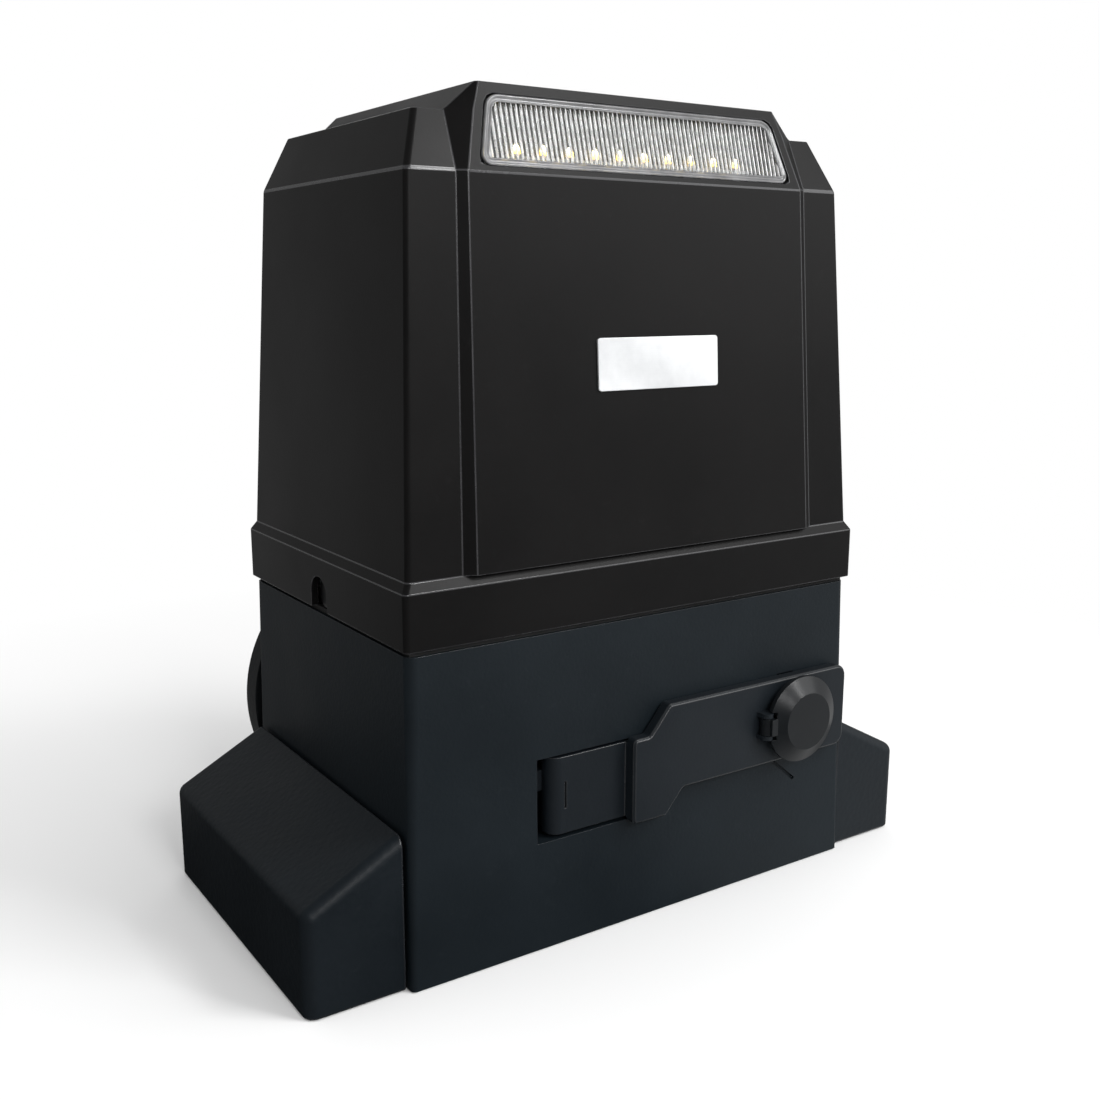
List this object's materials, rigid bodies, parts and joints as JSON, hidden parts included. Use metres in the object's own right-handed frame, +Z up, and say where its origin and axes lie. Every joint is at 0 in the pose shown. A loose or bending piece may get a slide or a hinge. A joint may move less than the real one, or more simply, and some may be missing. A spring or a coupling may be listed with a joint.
{
  "type": "sliding gate motor",
  "caption": "Sliding gate operator: tapered base with gearbox and rear rack pinion, lift-off cover with light window, lockable front release lever and side foot covers.",
  "frame": {"origin": "middle of the base's underside, on the surface the motor is bolted to", "axes": "+Z up, +X to the right across the front, +Y towards the gate side with the pinion"},
  "size_m": [0.286, 0.2138, 0.3086],
  "materials": {
    "base_black": "fine satin powder coat",
    "cover_black": "satin moulded plastic",
    "foot_black": "fine leather grain",
    "lever_black": "satin coat on a casting",
    "cap_black": "semi gloss",
    "lock_metal": "satin",
    "steel": "machined",
    "rubber": "matt",
    "casting": "as cast",
    "copper": "varnished copper wire",
    "coil_tape": "taped winding",
    "can": "satin",
    "board_green": "solder mask",
    "terminal": "satin",
    "bronze": "machined",
    "lens_clear": "clear ribbed plastic",
    "white": "matt white",
    "led": "warm lamp",
    "badge": "brushed"
  },
  "bodies": {
    "base": {"base_housing": "base_black", "levelling_screws": "steel", "cable_grommet": "rubber", "cover_screws": "steel", "hinge_pin": "steel", "rim_seal": "rubber", "gear_case": "casting", "gear_cover": "casting", "gear_cover_screws": "steel", "rear_bearing": "steel", "front_bearing": "steel", "worm_bearing_lower": "steel", "oil_seal": "rubber", "deck_plate": "steel", "motor_end_lower": "casting", "motor_end_upper": "casting", "motor_bearing_upper": "steel", "motor_stator": "steel", "motor_windings": "copper", "tie_bolts": "steel", "transformer_core": "steel", "transformer_coil": "coil_tape", "start_capacitor": "can", "control_board": "board_green", "board_brackets": "steel", "board_screws": "steel", "terminal_blocks": "terminal", "relays": "can"},
    "cover": {"cover_shell": "cover_black", "light_lens": "lens_clear", "light_tray": "white", "light_board": "board_green", "leds": "led", "badge_plate": "badge"},
    "lever": {"release_lever": "lever_black", "release_cam": "steel", "lock_body": "lock_metal", "cap_hinge": "cap_black"},
    "cap": {"lock_cap": "cap_black"},
    "lock": {"lock_plug": "lock_metal"},
    "output": {"output_shaft": "steel", "worm_wheel": "bronze", "drive_pinion": "steel", "pinion_key": "steel", "pinion_bolt": "steel", "clutch_spring": "steel"},
    "clutch": {"clutch_ring": "steel", "push_rod": "steel", "cross_pin": "steel"},
    "rotor": {"worm_shaft": "steel", "motor_rotor": "steel", "motor_fan": "can"},
    "foot_left": {"foot_cover_left": "foot_black"},
    "foot_right": {"foot_cover_right": "foot_black"}
  },
  "joints": [
    {"name": "cover_lift", "type": "slide", "parent": "base", "child": "cover", "axis": [0, 0, 1], "range_m": [0, 0.2]},
    {"name": "foot_left_pull", "type": "slide", "parent": "base", "child": "foot_left", "axis": [-1, 0, 0], "range_m": [0, 0.06]},
    {"name": "foot_right_pull", "type": "slide", "parent": "base", "child": "foot_right", "axis": [1, 0, 0], "range_m": [0, 0.06]},
    {"name": "lever_swing", "type": "hinge", "parent": "base", "child": "lever", "pos_m": [-0.038, -0.06, 0.06], "axis": [0, 0, -1], "range_deg": [0, 90]},
    {"name": "cap_flip", "type": "hinge", "parent": "lever", "child": "cap", "pos_m": [0.052, -0.07915, 0.0698], "axis": [0, 0, -1], "range_deg": [0, 110]},
    {"name": "key_turn", "type": "hinge", "parent": "lever", "child": "lock", "pos_m": [0.07, -0.06, 0.0698], "axis": [0, 1, 0], "range_deg": [0, 90]},
    {"name": "output_spin", "type": "hinge", "parent": "base", "child": "output", "pos_m": [-0.042, 0, 0.064], "axis": [0, 1, 0], "continuous": true},
    {"name": "clutch_shift", "type": "slide", "parent": "output", "child": "clutch", "axis": [0, 1, 0], "range_m": [0, 0.0045], "deforming": ["clutch_spring"]},
    {"name": "rotor_spin", "type": "hinge", "parent": "base", "child": "rotor", "pos_m": [0.012, 0.012, 0.1], "axis": [0, 0, 1], "continuous": true}
  ],
  "couplings": [
    {"joint": "clutch_shift", "follows": "lever_swing", "m_per_rad": 0.002864},
    {"joint": "rotor_spin", "follows": "output_spin", "ratio": 28}
  ]
}
